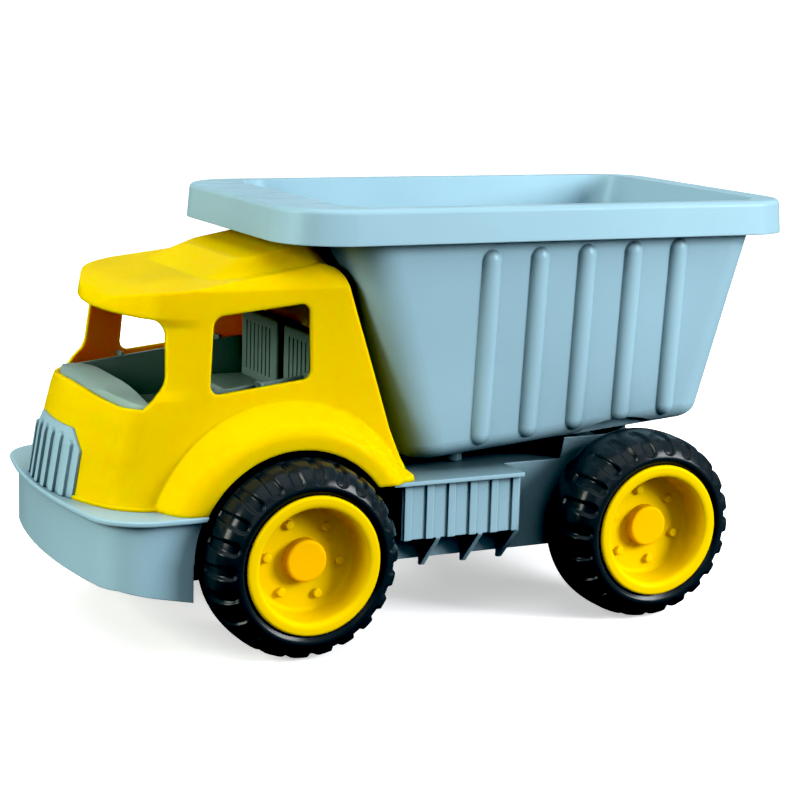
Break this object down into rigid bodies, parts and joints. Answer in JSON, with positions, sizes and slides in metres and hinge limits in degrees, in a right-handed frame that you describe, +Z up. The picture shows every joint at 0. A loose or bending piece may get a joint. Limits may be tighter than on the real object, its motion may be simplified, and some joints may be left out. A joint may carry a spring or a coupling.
{
  "type": "toy dump truck",
  "caption": "Moulded plastic toy dump truck with an open cab, ribbed side steps, chunky free-rolling wheels and a deep tipping bed hinged at the rear.",
  "frame": {"origin": "on the floor, under the centre of the truck's bounding box", "axes": "+Z up, -Y is the way the truck faces, +X is the truck's left side"},
  "size_m": [0.208, 0.3704, 0.2025],
  "materials": {
    "grey": "satin blue-grey moulded plastic",
    "yellow": "semi-gloss yellow moulded plastic",
    "rim_yellow": "semi-gloss yellow moulded plastic",
    "cap_yellow": "semi-gloss warm yellow moulded plastic",
    "tyre": "glossy black soft plastic",
    "black": "satin",
    "steel": "zinc-plated"
  },
  "bodies": {
    "chassis": {"chassis": "grey", "cab_shell": "yellow", "cab_interior": "grey", "grille": "grey", "cab_screws": "steel", "hinge_rod": "steel", "hinge_caps": "black", "front_axle": "steel", "rear_axle": "steel", "front_axle_keeper": "grey", "rear_axle_keeper": "grey", "keeper_screws": "steel", "push_nuts": "steel"},
    "front_left_wheel": {"front_left_tyre": "tyre", "front_left_hub": "rim_yellow", "front_left_cap": "cap_yellow"},
    "front_right_wheel": {"front_right_tyre": "tyre", "front_right_hub": "rim_yellow", "front_right_cap": "cap_yellow"},
    "rear_left_wheel": {"rear_left_tyre": "tyre", "rear_left_hub": "rim_yellow", "rear_left_cap": "cap_yellow"},
    "rear_right_wheel": {"rear_right_tyre": "tyre", "rear_right_hub": "rim_yellow", "rear_right_cap": "cap_yellow"},
    "bed": {"dump_bed": "grey"}
  },
  "joints": [
    {"name": "front_left_wheel_spin", "type": "hinge", "parent": "chassis", "child": "front_left_wheel", "pos_m": [0.0865, -0.08675, 0.046], "axis": [1, 0, 0], "continuous": true},
    {"name": "front_right_wheel_spin", "type": "hinge", "parent": "chassis", "child": "front_right_wheel", "pos_m": [-0.0865, -0.08675, 0.046], "axis": [1, 0, 0], "continuous": true},
    {"name": "rear_left_wheel_spin", "type": "hinge", "parent": "chassis", "child": "rear_left_wheel", "pos_m": [0.0865, 0.09525, 0.046], "axis": [1, 0, 0], "continuous": true},
    {"name": "rear_right_wheel_spin", "type": "hinge", "parent": "chassis", "child": "rear_right_wheel", "pos_m": [-0.0865, 0.09525, 0.046], "axis": [1, 0, 0], "continuous": true},
    {"name": "bed_tilt", "type": "hinge", "parent": "chassis", "child": "bed", "pos_m": [0, 0.10575, 0.0805], "axis": [-1, 0, 0], "range_deg": [0, 50]}
  ]
}
